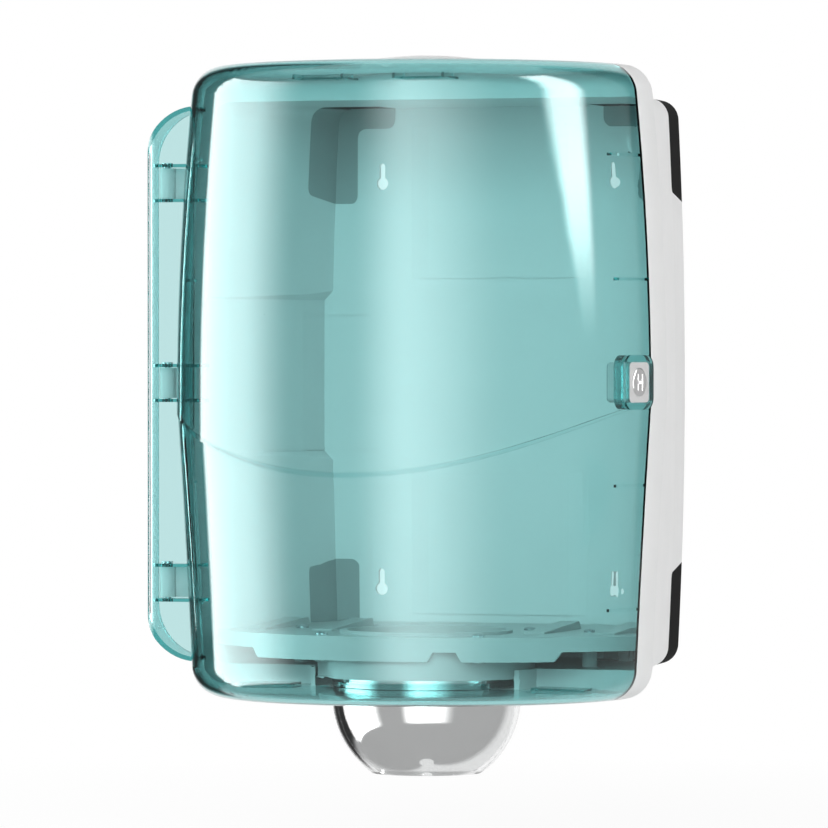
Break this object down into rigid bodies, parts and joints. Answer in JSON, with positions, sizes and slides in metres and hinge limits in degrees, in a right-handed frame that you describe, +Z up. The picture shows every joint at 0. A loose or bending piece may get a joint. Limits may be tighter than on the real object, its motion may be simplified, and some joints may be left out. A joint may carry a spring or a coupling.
{
  "type": "centre-feed wiper roll dispenser",
  "caption": "Wall-mounted centre-feed wiper roll dispenser: pale rear housing, tinted see-through barrel cover hinged at the left, side lock and bright dome nozzle below.",
  "frame": {"origin": "centre of the four round keyhole ends, on the plane of the wall", "axes": "+Z up, -Y out of the wall towards the user, +X to the right as the user sees it"},
  "size_m": [0.3285, 0.302, 0.447],
  "materials": {
    "housing_plastic": "satin injection-moulded",
    "inner_plastic": "satin injection-moulded",
    "bumper_rubber": "matt moulded",
    "cover_clear": "polished, tinted and see-through",
    "shell_clear": "polished and see-through",
    "bright_plate": "bright plated",
    "lock_plastic": "satin moulded",
    "latch_plastic": "moulded",
    "steel": "drawn and zinc plated"
  },
  "bodies": {
    "housing": {"rear_housing": "housing_plastic", "bumper_upper_left": "bumper_rubber", "bumper_upper_right": "bumper_rubber", "bumper_lower_left": "bumper_rubber", "bumper_lower_right": "bumper_rubber", "roll_shelf": "inner_plastic", "shelf_screws": "steel", "nozzle_holder": "inner_plastic", "holder_screws": "steel"},
    "cover": {"front_cover": "cover_clear", "hinge_pins": "steel", "lock_case": "lock_plastic", "lock_cap": "latch_plastic", "button_spring": "steel"},
    "lock_slider": {"lock_button": "bright_plate", "latch_plate": "latch_plastic", "latch_screw": "steel"},
    "nozzle": {"nozzle_dome": "bright_plate", "nozzle_shell": "shell_clear", "paper_funnel": "inner_plastic", "tear_ring": "lock_plastic"}
  },
  "joints": [
    {"name": "cover_hinge", "type": "hinge", "parent": "housing", "child": "cover", "pos_m": [-0.163, -0.172, 0], "axis": [0, 0, -1], "range_deg": [0, 110]},
    {"name": "button_push", "type": "slide", "parent": "cover", "child": "lock_slider", "axis": [-0.9659, 0.2588, 0], "range_m": [0, 0.004], "stiffness_N_per_m": 800, "springref_m": -0.002, "deforming": ["button_spring"]},
    {"name": "nozzle_turn", "type": "hinge", "parent": "housing", "child": "nozzle", "pos_m": [0, -0.146, 0], "axis": [0, 0, 1], "continuous": true}
  ]
}
